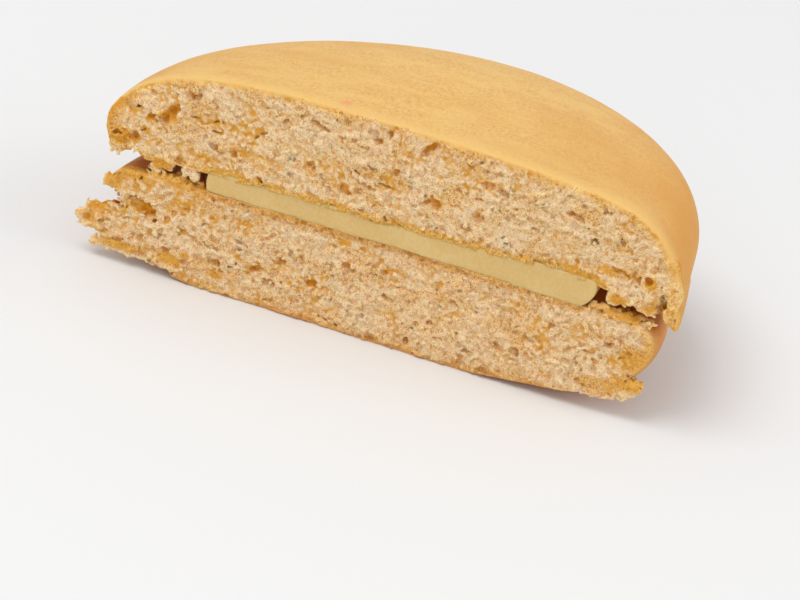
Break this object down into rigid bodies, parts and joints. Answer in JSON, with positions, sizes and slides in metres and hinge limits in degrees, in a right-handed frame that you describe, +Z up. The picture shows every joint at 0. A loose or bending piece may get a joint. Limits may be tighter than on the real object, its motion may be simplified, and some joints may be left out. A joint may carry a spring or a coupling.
{
  "type": "banana cookie",
  "caption": "Half of a soft round banana sandwich cookie, cut through the middle to show the airy crumb and the cream layer; rests on its flat underside.",
  "frame": {"origin": "on the flat underside of the lower cake, under the middle of the cut and 15 mm behind the cut plane", "axes": "+Z up through the two cakes, +X along the cut, so the cut face looks along -Y"},
  "size_m": [0.079, 0.0402, 0.0302],
  "materials": {
    "upper_cake": "satin golden crust over pale, open, slightly moist sponge crumb",
    "cream_filling": "smooth, dense, satin, pale yellow cream",
    "lower_cake": "pale sponge crumb with a thin tan skin"
  },
  "bodies": {
    "root": {"upper_cake": "upper_cake", "cream_filling": "cream_filling", "lower_cake": "lower_cake"}
  },
  "joints": []
}
